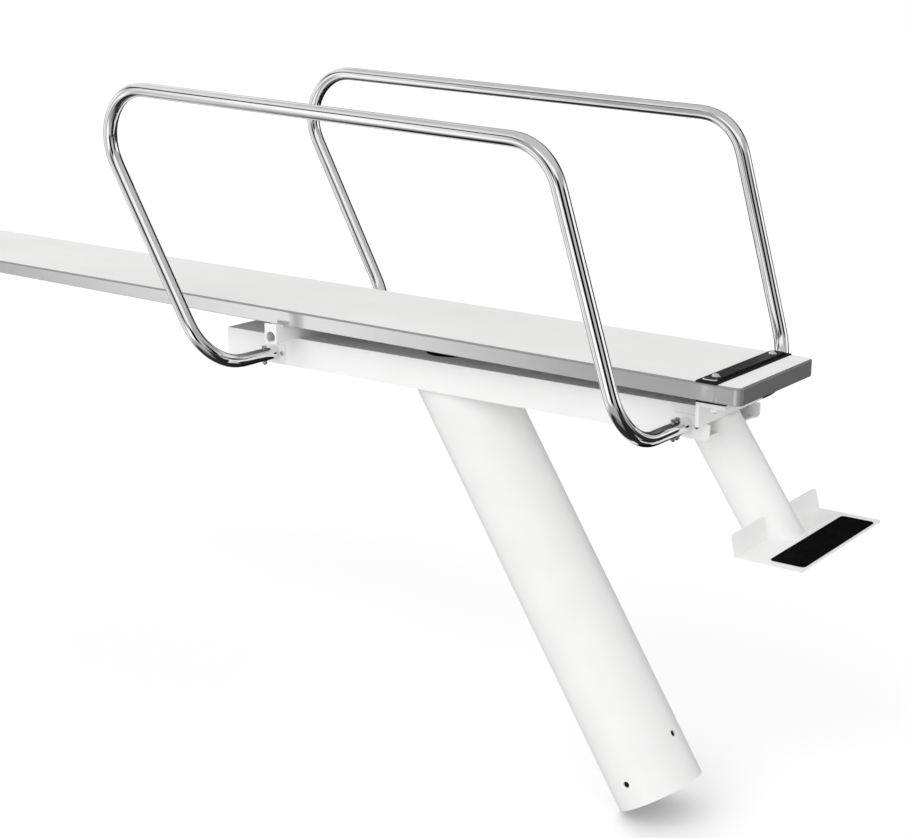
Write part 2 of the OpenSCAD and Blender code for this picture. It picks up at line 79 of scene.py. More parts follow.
# Gaps round bolts and at welds, and the length of thread past a nut
FIT_GAP, WELD_GAP, THREAD_OUT = 0.0002, 0.0003, 0.004
# Nuts, washers and heads, as multiples of the bolt's diameter
NUT_AF, NUT_H, WASHER_T, DOME_D, DOME_H, HEAD_H = 1.5, 0.82, 0.15, 1.75, 0.6, 0.64

# Heights and places that follow from them
FRAME_BOTTOM = PEDESTAL_L * math.cos(PEDESTAL_RAKE)
FRAME_TOP = FRAME_BOTTOM + FRAME_H
REAR_X = PEDESTAL_PLACE - PEDESTAL_L * math.sin(PEDESTAL_RAKE)
BAR_TOP = FRAME_TOP + BAR_SIDE
BOARD_REAR_Z = BAR_TOP + STRIP_T - FULCRUM * math.tan(BOARD_RISE)
ANGLE_TOP = BOARD_REAR_Z + BOLT_LINE * math.tan(BOARD_RISE) - REAR_PAD_T
TAB_TOP = ANGLE_TOP - ANGLE_LEG
RAIL_Z = FRAME_BOTTOM + RAIL_SEAT
TREAD_TOP = FRAME_BOTTOM - STEP_DROP

# Points nearer than this are one
SAME_PLACE = 1e-6
# Degrees that count as flat, as a corner and as a square one, and an upright edge's rise for its length
FLAT, CORNER, SQUARE, UPRIGHT = 0.5, 30, 60, 0.9
# Directions that no rail, no seam and no drill lies along
RAIL_ASIDE, SEAM_ASIDE, DRILL_ASIDE = (0.3, 0.2, 1.0), (0.02, 0.01, 1.0), (0.3, 0.5, 0.2)


def ahead(distance):
    """X of a place that lies this far forward of the board's rear end."""
    return REAR_X - distance


def unit(v):
    """The vector, or each row of an array of vectors, divided by its length."""
    v = np.asarray(v, float)
    return v / np.linalg.norm(v, axis=-1, keepdims=True)


def full_turn(steps):
    """Angles evenly spaced round a full circle."""
    return np.linspace(0, 2 * math.pi, steps, endpoint=False)


def ring_points(radius, height, angle):
    """Rings about Z, one for each row: radius x cosine, radius x sine, and the height."""
    radius, height, angle = np.broadcast_arrays(radius, height, angle)
    return np.stack([radius * np.cos(angle), radius * np.sin(angle), height], -1).reshape(-1, 3)


def quads(rows, cols, close_rows=False):
    """Faces between rings of points: a point, the one after it, and the same two of the next ring. With
    close_rows the last ring joins the first."""
    i, j = np.meshgrid(np.arange(rows if close_rows else rows - 1), np.arange(cols), indexing="ij")
    here, there, after = i * cols, (i + 1) % rows * cols, (j + 1) % cols
    return np.stack([here + j, here + after, there + after, there + j], -1).reshape(-1, 4).tolist()


def capped(rows, cols):
    """Faces between rings of points, with one face over the first ring and one over the last."""
    last = (rows - 1) * cols
    return quads(rows, cols) + [list(range(cols))[::-1], list(range(last, last + cols))]


def inside_out(part):
    """The same points with every face turned over."""
    points, faces = part
    return points, [face[::-1] for face in faces]


def added(name, data):
    """A new object in the scene that holds this data."""
    thing = bpy.data.objects.new(name, data)
    bpy.context.scene.collection.objects.link(thing)
    return thing


def piece(name, parts, stands_for, slot, sharp=40, finish=None):
    """One object made of (points, faces) parts, whose points are numbered on from part to part."""
    points, faces, count = [], [], 0
    for part_points, part_faces in parts:
        points.append(part_points)
        faces += [[corner + count for corner in face] for face in part_faces]
        count += len(part_points)
    mesh = bpy.data.meshes.new(name)
    mesh.from_pydata(np.concatenate(points), [], faces)
    return settled(name, mesh, stands_for, slot, sharp, finish)


def settled(name, mesh, stands_for, slot, sharp=40, finish=None):
    """An object of the mesh: doubles merged, turned over if its signed volume is negative, and shaded smooth
    except at edges that turn by more than sharp degrees. Its finish is the slot's, unless one is given."""
    work = bmesh.new()
    work.from_mesh(mesh)
    bmesh.ops.remove_doubles(work, verts=work.verts, dist=SAME_PLACE)
    bmesh.ops.dissolve_degenerate(work, edges=work.edges, dist=SAME_PLACE / 10)
    if work.calc_volume(signed=True) < 0:
        bmesh.ops.reverse_faces(work, faces=work.faces)
    work.to_mesh(mesh)
    work.free()
    mesh.shade_smooth()
    mesh.set_sharp_from_angle(angle=math.radians(sharp))
    thing = added(name, mesh)
    evening = thing.modifiers.new("flat faces stay flat", "WEIGHTED_NORMAL")
    evening.keep_sharp = True
    graph = bpy.context.evaluated_depsgraph_get()
    thing.data = bpy.data.meshes.new_from_object(thing.evaluated_get(graph))
    thing.modifiers.clear()
    thing.data.materials.clear()
    thing.data.materials.append(finish or by_slot[slot])
    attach(thing, "root")
    if stands_for:
        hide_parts(*stands_for)
    return thing


def softened(name, node, slot, width, blunt=None, finish=None):
    """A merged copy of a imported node: coplanar triangles made whole, then each corner rounded to the width.
    With blunt, (X, radius), its upright square corners past that X are rounded to that radius first."""
    mesh = cad_nodes[node].data.copy()
    work = bmesh.new()
    work.from_mesh(mesh)
    bmesh.ops.remove_doubles(work, verts=work.verts, dist=2 * SAME_PLACE)
    bmesh.ops.dissolve_limit(work, angle_limit=math.radians(FLAT), verts=work.verts, edges=work.edges)

    def turning(limit):
        """Edges whose two faces turn by more than the limit."""
        pairs = [e for e in work.edges if len(e.link_faces) == 2]
        return [e for e in pairs if e.calc_face_angle(0) > math.radians(limit)]

    if blunt:
        beyond, radius = blunt
        upright = [e for e in turning(SQUARE) if min(v.co.x for v in e.verts) > beyond
                   and abs(e.verts[0].co.z - e.verts[1].co.z) > UPRIGHT * e.calc_length()]
        bmesh.ops.bevel(work, geom=upright, offset=radius, segments=8, profile=0.5, affect="EDGES")
    bmesh.ops.bevel(work, geom=turning(CORNER), offset=width, segments=2, profile=0.5, affect="EDGES",
                    clamp_overlap=True)
    work.to_mesh(mesh)
    work.free()
    return settled(name, mesh, (node,), slot, 32, finish)


def second_finish(thing, finish, chosen):
    """Gives another finish to the faces that chosen picks out by their centres and their normals."""
    thing.data.materials.append(finish)
    faces = thing.data.polygons
    centres, normals = np.array([f.center for f in faces]), np.array([f.normal for f in faces])
    for number in np.flatnonzero(chosen(centres, normals)).tolist():
        faces[number].material_index = len(thing.data.materials) - 1


def rounded_outline(corners, radius, steps=8, pitch=None):
    """Closed outline in a plane, counter-clockwise: straight sides joined by arcs of the radius. With pitch,
    the sides are divided into stretches no longer than it."""
    arriving = unit(corners - np.roll(corners, 1, axis=0))
    leaving = np.roll(arriving, -1, axis=0)
    loop = []
    for corner, u, w in zip(corners, arriving, leaving):
        turn = math.atan2(u[0] * w[1] - u[1] * w[0], float(u @ w))
        trim = radius * math.tan(abs(turn) / 2)
        inward = np.array([-u[1], u[0]]) * math.copysign(1, turn)
        angle = np.linspace(0, abs(turn), steps)[:, None]
        loop.append(corner - u * trim + radius * (np.sin(angle) * u + (1 - np.cos(angle)) * inward))
    loop = np.concatenate(loop)
    if pitch:
        following = np.roll(loop, -1, axis=0)
        parts = np.maximum(1, np.ceil(np.linalg.norm(following - loop, axis=1) / pitch)).astype(int)
        loop = np.concatenate([a + (b - a) * np.arange(n)[:, None] / n
                               for a, b, n in zip(loop, following, parts)])
    return loop


def rectangle(width, height, centre=(0, 0)):
    """Corners of a rectangle, counter-clockwise."""
    x, y = width / 2, height / 2
    return np.array([[x, -y], [x, y], [-x, y], [-x, -y]]) + centre


def inset(loop, distance):
    """Each point of a closed outline moved inwards, along the mean of its two sides' normals, so far that the
    sides move by the distance."""
    side = unit(np.roll(loop, -1, axis=0) - loop)
    before = np.roll(side, 1, axis=0)
    normal = unit(np.stack([-(side + before)[:, 1], (side + before)[:, 0]], -1))
    spread = np.sum(normal * np.stack([-side[:, 1], side[:, 0]], -1), axis=1, keepdims=True)
    return loop + normal * distance / spread


def lifted(points, height):
    """Points of a plane with a third coordinate, one height for all of them or one for each."""
    return np.column_stack([points, np.broadcast_to(height, len(points))])


def edge_profile(low, high, below, above, steps=4):
    """Pairs (inset, height) of a plate's edge: quarter circles of radius below at its foot and above at its
    top."""
    angle = np.linspace(0, math.pi / 2, steps)
    under = np.stack([below * (1 - np.sin(angle)), low + below * (1 - np.cos(angle))], -1)
    over = np.stack([above * (1 - np.sin(angle)), high - above * (1 - np.cos(angle))], -1)[::-1]
    return np.concatenate([under, over])


def slab(loop, profile):
    """Plate whose edge follows the profile: each pair is a ring, the outline inset and lifted by it."""
    stack = [lifted(inset(loop, aside), height) for aside, height in profile]
    return np.concatenate(stack), capped(len(stack), len(loop))


def turned(profile, steps=48):
    """Solid of revolution about Z: pairs (radius, height) turned full circle, closed at both ends."""
    radius, height = np.asarray(profile, float).T[..., None]
    return ring_points(radius, height, full_turn(steps)), capped(len(radius), steps)


# A hexagon's chamfer: its height as a part of the width, and its face as a part of the inscribed circle
CHAMFER, CHAMFER_FACE = 0.075, 0.95


def hexagon(across, low, high, hole=0.0, steps=72, both=False):
    """Hexagon head or nut. A side's distance at an angle is the apothem over the cosine of the angle from the
    side's middle. Rings run down along it, held under a cone of 30 degrees at the chamfered faces. With a
    hole, the inner rings are circles, else a face closes each end."""
    from_middle = (full_turn(steps) + math.pi / 6) % (math.pi / 3) - math.pi / 6
    flat = across / 2 / np.cos(from_middle)
    drops = across * CHAMFER * np.array([0, 0.33, 0.66, 1])
    cone = across / 2 * CHAMFER_FACE + drops[:, None] * math.sqrt(3)
    rows = [(np.minimum(flat, radius), high - drop) for radius, drop in zip(cone, drops)]
    if both:
        rows += [(radius, low + (high - height)) for radius, height in rows[::-1]]
    else:
        rows.append((flat, low))
    if hole:
        rows += [(np.full(steps, hole), height) for height in (low, high)]
    radius, height = (np.array(part) for part in zip(*rows))
    faces = quads(len(rows), steps, close_rows=True) if hole else capped(len(rows), steps)
    return inside_out((ring_points(radius, height[:, None], full_turn(steps)), faces))


def nut(bolt, seat):
    """Hex nut on a bolt of this diameter, its upper face at the seat's height."""
    return hexagon(NUT_AF * bolt, seat - NUT_H * bolt, seat, bolt / 2 + FIT_GAP / 2, both=True)


# A thread's depth and the taper of the bolt's point, as parts of the pitch, and the rings for each pitch
THREAD_DEPTH, THREAD_POINT, THREAD_ROWS = 0.55, 0.3, 8


def threaded(radius, low, high, pitch, steps=36):
    """Bolt's end: its radius falls and rises by the thread's depth once for each pitch, a pitch later for a
    full turn. The thread fades out over the last pitch, and the bolt tapers over the first."""
    angle = full_turn(steps)
    height = np.linspace(low, high, max(3, int((high - low) / pitch * THREAD_ROWS)))[:, None]
    wave = np.abs((height / pitch - angle / (2 * math.pi)) % 1 * 2 - 1)
    fade = np.clip((high - height) / pitch, 0, 1)
    taper = np.clip(1 - (height - low) / pitch, 0, 1)
    across = radius - pitch * (THREAD_DEPTH * wave * fade + THREAD_POINT * taper)
    return ring_points(across, height, angle), capped(len(height), steps)


def placed(part, origin, up=(0, 0, 1), along=(1, 0, 0)):
    """A part with its origin moved, its Z axis turned to up and its X axis as near along as that allows."""
    points, faces = part
    z = unit(up)
    x = unit(np.asarray(along, float) - z * np.dot(along, z))
    return np.asarray(points) @ np.stack([x, np.cross(z, x), z]) + np.asarray(origin, float), faces


def on_board(part):
    """A part drawn on the board's own axes, x back from its rear end and z square to it, put in place."""
    points, faces = part
    c, s = math.cos(BOARD_RISE), math.sin(BOARD_RISE)
    turn = np.array([[c, 0, -s], [0, 1, 0], [s, 0, c]])
    return np.asarray(points) @ turn + [REAR_X, 0, BOARD_REAR_Z], faces


# Steps of the integral that go into one step of a bent line
FINER = 8


def bent_line(corners, radius, ease=0.06, steps=64):
    """Centre line of a bent tube: straights joined by arcs, whose curvature rises and falls evenly over the
    ease's length, as in a drawn bend. The heading is the integral of the curvature, and the place that of the
    heading. Returns the points, and at each two unit vectors square to the line, carried along untwisted."""
    corners = np.asarray(corners, float)
    ways = unit(np.diff(corners, axis=0))
    side = unit(np.cross(ways[0], RAIL_ASIDE))
    points, tangents, sides = [corners[:1]], [ways[:1]], [side[None]]
    for k in range(len(ways) - 1):
        u, w = ways[k], ways[k + 1]
        turn = math.acos(float(u @ w))
        toward = unit(w - u * (u @ w))
        axis = np.cross(u, toward)
        run = np.linspace(0, radius * turn + ease, FINER * steps + 1)
        curvature = np.clip(np.minimum(run, run[-1] - run) / ease, 0, 1) / radius
        angle = np.append(0, np.cumsum((curvature[1:] + curvature[:-1]) / 2 * run[1]))
        angle *= turn / angle[-1]
        heading = np.stack([np.cos(angle), np.sin(angle)], -1)
        place = np.cumsum(np.vstack([[0, 0], (heading[1:] + heading[:-1]) / 2 * run[1]]), axis=0)
        start = corners[k + 1] - u * place[-1, 1] / math.sin(turn)
        angle, place = angle[::FINER, None], place[::FINER]
        points.append(start + place[:, :1] * u + place[:, 1:] * toward)
        tangents.append(np.cos(angle) * u + np.sin(angle) * toward)
        sides.append((side @ toward) * (np.cos(angle) * toward - np.sin(angle) * u) + (side @ axis) * axis)
        side = sides[-1][-1]
    points.append(corners[-1:])
    tangents.append(ways[-1:])
    sides.append(side[None])
    points, tangents, sides = (np.concatenate(part) for part in (points, tangents, sides))
    return points, sides, np.cross(tangents, sides)


def circles(centres, side, other, radius, angle):
    """Circles in space: centre + radius x (cosine of the angle x side + sine of the angle x other)."""
    around = np.cos(angle)[None, :, None] * side[:, None] + np.sin(angle)[None, :, None] * other[:, None]
    return (centres[:, None] + radius[:, None, None] * around).reshape(-1, 3)


def tube(line, outer, inner, steps=96, lip=0.0005):
    """Tube with a wall: circles of the outer radius carried along the line, then circles of the inner radius
    back, with both ends' outer edges eased by the lip."""
    centres, side, other = line
    angle = full_turn(steps)
    first, last = unit(centres[1] - centres[0]) * lip, unit(centres[-1] - centres[-2]) * lip
    stations = np.concatenate([centres[:1], centres[:1] + first, centres[1:-1],
                               centres[-1:] - last, centres[-1:]])
    rows = np.concatenate([[0], np.arange(len(centres)), [len(centres) - 1]])
    radius = np.concatenate([[outer - lip], np.full(len(centres), outer), [outer - lip]])
    there = circles(stations, side[rows], other[rows], radius, angle)
    back = circles(centres[::-1], side[::-1], other[::-1], np.full(len(centres), inner), angle)
    return np.concatenate([there, back]), quads(len(stations) + len(centres), steps, close_rows=True)


def raked_circle(rake, steps):
    """Unit vector along an axis that leans forward by the rake, and a circle of unit vectors square to it."""
    angle = full_turn(steps)[:, None]
    across = np.array([math.cos(rake), 0, math.sin(rake)])
    around = np.cos(angle) * across + np.sin(angle) * np.array([0, 1.0, 0])
    return np.array([-math.sin(rake), 0, math.cos(rake)]), around


def raked_tube(foot, rake, outer, wall, low, high, steps, rows, socket=None):
    """Straight tube that leans forward by the rake. For each point of its outline, as a vector square to the
    axis, low and high give how far along the axis its wall starts and ends. A socket (depth, ease) widens the
    bore by the ease over its first stretch."""
    axis, around = raked_circle(rake, steps)
    share = np.linspace(0, 1, rows)[:, None]
    walls = []
    for radius, order in ((outer, share), (outer - wall, share[::-1])):
        start, end = low(around * radius), high(around * radius)
        along = start + (end - start) * order
        walls.append(foot + around * radius + along[..., None] * axis)
    if socket:
        depth, ease = socket
        bore = walls[1]
        above = bore[((bore - foot) @ axis).min(axis=1) > depth]
        shoulder = foot + around * (outer - wall) + depth * axis
        wide = foot + around * (outer - wall + ease)
        walls = [walls[0], above, shoulder[None], (wide + depth * axis)[None], wide[None]]
    points = np.concatenate(walls)
    return points.reshape(-1, 3), quads(len(points), steps, close_rows=True)


def up_to(height, foot, rake):
    """How far along a raked axis each outline point reaches the height."""
    return lambda offset: (height - foot[2] - offset[:, 2]) / math.cos(rake)


def meeting(foot, rake, radius, height, steps=900):
    """Closed line where a raked round tube meets a level plane: its outline pushed along the axis to it."""
    axis, around = raked_circle(rake, steps)
    offset = radius * around
    return foot + offset + up_to(height, foot, rake)(offset)[:, None] * axis


# A weld bead: the length of a ripple, the circles for each and round each, how much it swells, and its tip
RIPPLE, RIPPLE_ROWS, BEAD_STEPS, BEAD_SWELL, BEAD_TIP = 0.0035, 6, 10, 0.09, 0.02


def bead(path, radius, closed=False):
    """Weld bead along a path: circles across it, whose radius swells and shrinks once for each ripple. On a
    closed path the last joins the first, else those near both ends shrink as on a sphere."""
    run = np.append(0, np.cumsum(np.linalg.norm(np.diff(path, axis=0), axis=1)))
    swell = radius * (1 + BEAD_SWELL * np.sin(2 * math.pi * run / RIPPLE))
    if closed:
        way = unit(np.roll(path, -1, axis=0) - np.roll(path, 1, axis=0))
        faces = quads(len(path), BEAD_STEPS, close_rows=True)
    else:
        way = unit(np.gradient(path, axis=0))
        nearest = np.clip(np.minimum(run, run[-1] - run) / radius, 0, 1)
        swell = swell * np.sqrt(np.clip(1 - (1 - nearest) ** 2, BEAD_TIP, 1))
        faces = capped(len(path), BEAD_STEPS)
    side = unit(np.cross(way, SEAM_ASIDE))
    return circles(path, side, np.cross(way, side), swell, full_turn(BEAD_STEPS)), faces


def straight_bead(start, end, radius):
    """Weld bead along a straight line."""
    start, end = np.asarray(start), np.asarray(end)
    share = np.linspace(0, 1, int(np.linalg.norm(end - start) / RIPPLE * RIPPLE_ROWS))[:, None]
    return bead(start + share * (end - start), radius)


class Wiring:
    """A node tree, with short names for the nodes that the finishes and the studio use."""

    def __init__(self, tree):
        self.tree = tree

    def node(self, kind, **settings):
        """A new node of the kind, with these settings."""
        made = self.tree.nodes.new(kind)
        for key, value in settings.items():
            setattr(made, key, value)
        return made

    def link(self, source, target):
        """Joins an output to an input."""
        self.tree.links.new(source, target)

    def spread(self, source, low, high, start=0.3, end=0.7):
        """From low at start to high at end, and level outside."""
        made = self.node("ShaderNodeMapRange")
        for key, value in (("From Min", start), ("From Max", end), ("To Min", low), ("To Max", high)):
            made.inputs[key].default_value = value
        self.link(source, made.inputs["Value"])
        return made.outputs["Result"]

    def maths(self, operation, *values):
        """The operation's result on values, each a number or another node's output."""
        made = self.node("ShaderNodeMath", operation=operation)
        for socket, value in zip(made.inputs, values):
            if isinstance(value, (int, float)):
                socket.default_value = value
            else:
                self.link(value, socket)
        return made.outputs[0]

    def mixed(self, share, a, b):
        """Colour a where the share is 0, and b where it is 1."""
        made = self.node("ShaderNodeMix", data_type="RGBA")
        self.link(share, made.inputs["Factor"])
        for name, value in (("A", a), ("B", b)):
            socket = next(s for s in made.inputs if s.name == name and s.type == "RGBA")
            if isinstance(value, tuple):
                socket.default_value = (*value, 1)
            else:
                self.link(value, socket)
        return next(s for s in made.outputs if s.type == "RGBA")


class Finish(Wiring):
    """A material built from nodes on its object's own coordinates."""

    def __init__(self, name, color, roughness, metallic=0.0, **sockets):
        self.material = bpy.data.materials.new(name)
        self.material.use_nodes = True
        super().__init__(self.material.node_tree)
        self.shader = next(n for n in self.tree.nodes if n.type == "BSDF_PRINCIPLED")
        self.shader.inputs["Base Color"].default_value = (*color, 1)
        self.shader.inputs["Roughness"].default_value = roughness
        self.shader.inputs["Metallic"].default_value = metallic
        for socket, value in sockets.items():
            self.shader.inputs[socket.replace("_", " ")].default_value = value
        self.place = self.node("ShaderNodeTexCoord").outputs["Object"]
        self.material.diffuse_color = (*color, 1)

    def noise(self, scale, detail=3, stretch=(1, 1, 1)):
        """Noise on the object's own coordinates. Stretch multiplies the scale, waves per metre, by axis."""
        mapping = self.node("ShaderNodeMapping")
        mapping.inputs["Scale"].default_value = stretch
        made = self.node("ShaderNodeTexNoise")
        made.inputs["Scale"].default_value = scale
        made.inputs["Detail"].default_value = detail
        self.link(self.place, mapping.inputs["Vector"])
        self.link(mapping.outputs["Vector"], made.inputs["Vector"])
        return made.outputs[0]

    def cells(self, scale):
        """Distance to the nearest of scattered points. Scale is in points per metre."""
        made = self.node("ShaderNodeTexVoronoi", feature="F1")
        made.inputs["Scale"].default_value = scale
        self.link(self.place, made.inputs["Vector"])
        return made.outputs["Distance"]

    def ramp(self, source, stops):
        """Colour ramp. Each stop is (place, grey or colour)."""
        made = self.node("ShaderNodeValToRGB")
        while len(made.color_ramp.elements) < len(stops):
            made.color_ramp.elements.new(0.5)
        for element, (place, color) in zip(made.color_ramp.elements, stops):
            element.position = place
            element.color = (color, color, color, 1) if isinstance(color, (int, float)) else (*color, 1)
        self.link(source, made.inputs["Fac"])
        return made.outputs["Color"]

    def bump(self, *layers):
        """Bump from several layers (height, distance in metres), one on top of the other."""
        normal = None
        for height, distance in layers:
            made = self.node("ShaderNodeBump")
            made.inputs["Strength"].default_value = 1.0
            made.inputs["Distance"].default_value = distance
            self.link(height, made.inputs["Height"])
            if normal:
                self.link(normal, made.inputs["Normal"])
            normal = made.outputs["Normal"]
        self.link(normal, self.shader.inputs["Normal"])

    def set(self, socket, source):
        """Joins an output to one of the shader's own sockets."""
        self.link(source, self.shader.inputs[socket])


def powder_coat(name, base):
    """Satin white powder coat: faint clouds, orange peel of two to three millimetres, uneven gloss."""
    coat = Finish(name, base, 0.38)
    dark = tuple(c * 0.975 for c in base)
    coat.set("Base Color", coat.ramp(coat.noise(7, 4), [(0.35, dark), (0.65, base)]))
    coat.set("Roughness", coat.spread(coat.noise(60), 0.33, 0.44))
    coat.bump((coat.noise(420, 1), 0.00006), (coat.noise(1500, 0), 0.00001))
    return coat.material


def satin_skin(name, base, rough):
    """Satin metal-grey skin: fine lines along the board, clouds of slightly duller metal and small scuffs."""
    coat = Finish(name, (base, base, base * 1.007), rough, metallic=0.8)
    lines = coat.noise(300, 2, stretch=(0.02, 1, 1))
    clouds = coat.noise(16, 4, stretch=(0.5, 1, 1))
    tone = coat.ramp(clouds, [(0.3, base * 0.98), (0.7, base * 1.02)])
    scuffs = coat.spread(coat.noise(70, 5, stretch=(0.25, 1, 1)), 0, 0.1, 0.62, 0.78)
    coat.set("Base Color", coat.mixed(scuffs, tone, (base * 0.73,) * 3))
    coat.set("Roughness", coat.spread(clouds, rough * 0.85, rough * 1.2))
    coat.bump((lines, 0.000003), (coat.noise(420, 1), 0.000002))
    return coat.material


def sand_coat():
    """Non-slip coat: sand grains of about a millimetre in pale resin, a few darker, and worn clouds."""
    coat = Finish("sand_coat", (0.87, 0.87, 0.86), 0.85)
    grains = coat.cells(950)
    specks = coat.noise(700, 2)
    clouds = coat.noise(3.5, 5, stretch=(0.6, 1, 1))
    base = coat.ramp(clouds, [(0.3, (0.845, 0.845, 0.838)), (0.7, (0.885, 0.885, 0.878))])
    coat.set("Base Color", coat.mixed(coat.spread(specks, 0, 1, 0.60, 0.72), base, (0.70, 0.70, 0.68)))
    coat.set("Roughness", coat.spread(specks, 0.78, 0.95))
    coat.bump((coat.spread(grains, 1, 0, 0, 0.75), 0.00015), (coat.noise(2400, 1), 0.00005))
    return coat.material


def rubber(name, base, grit=0.0, shine=0.15):
    """Rubber: fine pores, a little dust in broad clouds, and with grit a harder grain of grey specks."""
    coat = Finish(name, (base, base, base), 0.75, Specular_IOR_Level=shine)
    tone = coat.ramp(coat.noise(22, 5), [(0.35, base), (0.75, min(base * 1.8, base + 0.03))])
    if grit:
        specks = coat.spread(coat.noise(1300, 1), 0, 1, 0.66, 0.76)
        tone = coat.mixed(specks, tone, (grit, grit, grit))
    coat.set("Base Color", tone)
    coat.set("Roughness", coat.spread(coat.noise(90), 0.62, 0.85))
    coat.bump((coat.noise(800, 2), 0.0002 if grit else 0.00008))
    return coat.material


def polished_steel():
    """Mirror polished stainless tube: faint polishing lines, clouds of duller metal and small marks."""
    coat = Finish("polished_tube", (0.86, 0.86, 0.865), 0.035, metallic=1.0)
    clouds = coat.noise(14, 4)
    lines = coat.noise(900, 2, stretch=(1, 0.2, 1))
    coat.set("Base Color", coat.ramp(clouds, [(0.3, (0.83, 0.83, 0.835)), (0.7, (0.89, 0.89, 0.895))]))
    coat.set("Roughness", coat.spread(clouds, 0.02, 0.05))
    coat.bump((lines, 0.000002), (coat.noise(24, 2), 0.00003))
    return coat.material


def steel(name, base, rough, scale=400, stretch=(1, 1, 1), edge=1.0):
    """Machined stainless steel: fine cut marks, duller clouds and tiny pits. Edge is its tint seen aslant."""
    coat = Finish(name, (base, base, base * 1.01), rough, metallic=1.0, Specular_Tint=(edge, edge, edge, 1))
    clouds = coat.noise(60, 4)
    coat.set("Base Color", coat.ramp(clouds, [(0.3, base * 0.88), (0.7, base * 1.06)]))
    coat.set("Roughness", coat.spread(clouds, rough * 0.75, rough * 1.35))
    coat.bump((coat.noise(scale, 2, stretch=stretch), 0.000012), (coat.noise(90), 0.00004))
    return coat.material


def laminated_wood():
    """Softwood staves side by side. Their growth rings are bands of noise stretched along the grain."""
    coat = Finish("laminated_core", (0.72, 0.55, 0.36), 0.7)
    growth = coat.noise(28, 6, stretch=(0.06, 1.6, 1.6))
    staves = coat.node("ShaderNodeTexWave", wave_type="BANDS", bands_direction="Y", wave_profile="SAW")
    staves.inputs["Scale"].default_value = 3.2
    coat.link(coat.place, staves.inputs["Vector"])
    early, pale, late = (0.60, 0.42, 0.24), (0.74, 0.57, 0.38), (0.66, 0.48, 0.29)
    tone = coat.ramp(growth, [(0.35, early), (0.5, pale), (0.65, late)])
    glue = coat.spread(staves.outputs["Fac"], 0, 0.35, 0.9, 1)
    coat.set("Base Color", coat.mixed(glue, tone, (0.4, 0.27, 0.14)))
    coat.set("Roughness", coat.spread(growth, 0.6, 0.8))
    coat.bump((growth, 0.0003))
    return coat.material


# The finish of each of the record's slots, and those that a few pieces or faces have instead
by_slot = {
    "board_skin": satin_skin("satin_board_skin", 0.68, 0.10),
    "board_core": laminated_wood(),
    "board_coat": sand_coat(),
    "hold_down_plate": steel("dark_polished_plate", 0.28, 0.20, 300, (1, 0.1, 1), edge=0.3),
    "black_rubber": rubber("black_rubber", 0.006),
    "tread_rubber": rubber("tread_rubber", 0.002, grit=0.008, shine=0.02),
    "pale_rubber": rubber("pale_rubber", 0.72),
    "bolts": steel("bright_bolts", 0.80, 0.11),
    "white_frame": powder_coat("white_powder_coat", (0.90, 0.90, 0.895)),
    # The pedestal's coat is a darker copy of the frame's white: painted shade that tones the pedestal down
    "white_pedestal": powder_coat("white_pedestal_coat_painted_shade", (0.85, 0.85, 0.845)),
    "rail": polished_steel()}
# A lighter copy of the white coat for the folded step: painted light that brightens it
step_white_painted_light = powder_coat("white_step_coat", (0.94, 0.94, 0.935))
# Darker, rougher copy of the skin for the faces that face partly up: its darker grey is a painted shade line
# along the board's rounded top edges
board_edge = satin_skin("dull_board_edge_painted_shade", 0.42, 0.30)
# Darker, rougher copy of the skin for the rounded corners: painted shade that dims their highlight
board_corner = satin_skin("rough_board_corner_painted_shade", 0.62, 0.38)
# Darker copy of the bolt steel for the rails' bolts: painted shade that makes them darker than the hold-down
# bolts
dark_steel = steel("rail_bolt_steel_painted_shade", 0.38, 0.13)
# Near-black for the pedestal's inner wall: painted shade inside the tube
painted_shade_inside = rubber("painted_shade_inside", 0.03)

# The board: skin with its core inside, and the sand coat on top
LOWER_ROUND, UPPER_ROUND, COAT_ROUND = 0.003, 0.0065, 0.0007


def board_loop(inward):
    """Outline of the board from above, counter-clockwise, as two mirrored halves of paired points."""
    r = BOARD_CORNER - inward
    half, length = BOARD_W / 2 - inward, BOARD_L - inward
    angle = np.linspace(0, math.pi / 2, 9)
    rear = np.stack([-inward - r + r * np.cos(angle), half - r + r * np.sin(angle)], -1)
    tip = np.stack([-length + r - r * np.sin(angle), half - r + r * np.cos(angle)], -1)
    stations = -np.linspace(r + inward, length - r, 48)[1:-1]
    stations = np.sort(np.append(stations, -FULCRUM))[::-1]
    side = np.stack([stations, np.full(len(stations), half)], -1)
    upper = np.concatenate([rear, side, tip])
    return np.concatenate([upper, upper[::-1] * [1, -1]])


def board_solid(inward, below, above):
    """The board drawn smaller by inward, its long edges rounded. The underside is flat behind the fulcrum and
    rises evenly from there to the tip. The flat faces are strips between the outline's paired points."""
    loop = board_loop(inward)
    rise = (BOARD_T - TIP_T) * np.clip((-loop[:, 0] - FULCRUM) / (BOARD_L - FULCRUM), 0, 1)
    profile = edge_profile(inward, BOARD_T - inward, below, above, steps=6 if above else 2)
    lower = len(profile) // 2
    stack = [lifted(inset(loop, aside), height + (rise if row < lower else 0))
             for row, (aside, height) in enumerate(profile)]
    n, last = len(loop), (len(profile) - 1) * len(loop)
    i = np.arange(n // 2 - 1)
    strip = np.stack([i, i + 1, n - 2 - i, n - 1 - i], -1)
    faces = quads(len(profile), n) + strip[:, ::-1].tolist() + (strip + last).tolist()
    return np.concatenate(stack), faces


skin, core = board_solid(0, LOWER_ROUND, UPPER_ROUND), board_solid(SKIN_T, 0, 0)
board = piece("board_skin", [on_board(skin), on_board(inside_out(core))], ("board_shell",), "board_skin", 50)
# The rounded corners face neither X nor Y alone, and the rounded long edges face partly up. The corners'
# darker, rougher skin is painted shade that dims their highlight
second_finish(board, board_corner, lambda centre, normal: np.abs(normal[:, :2]).min(axis=1) > 0.08)
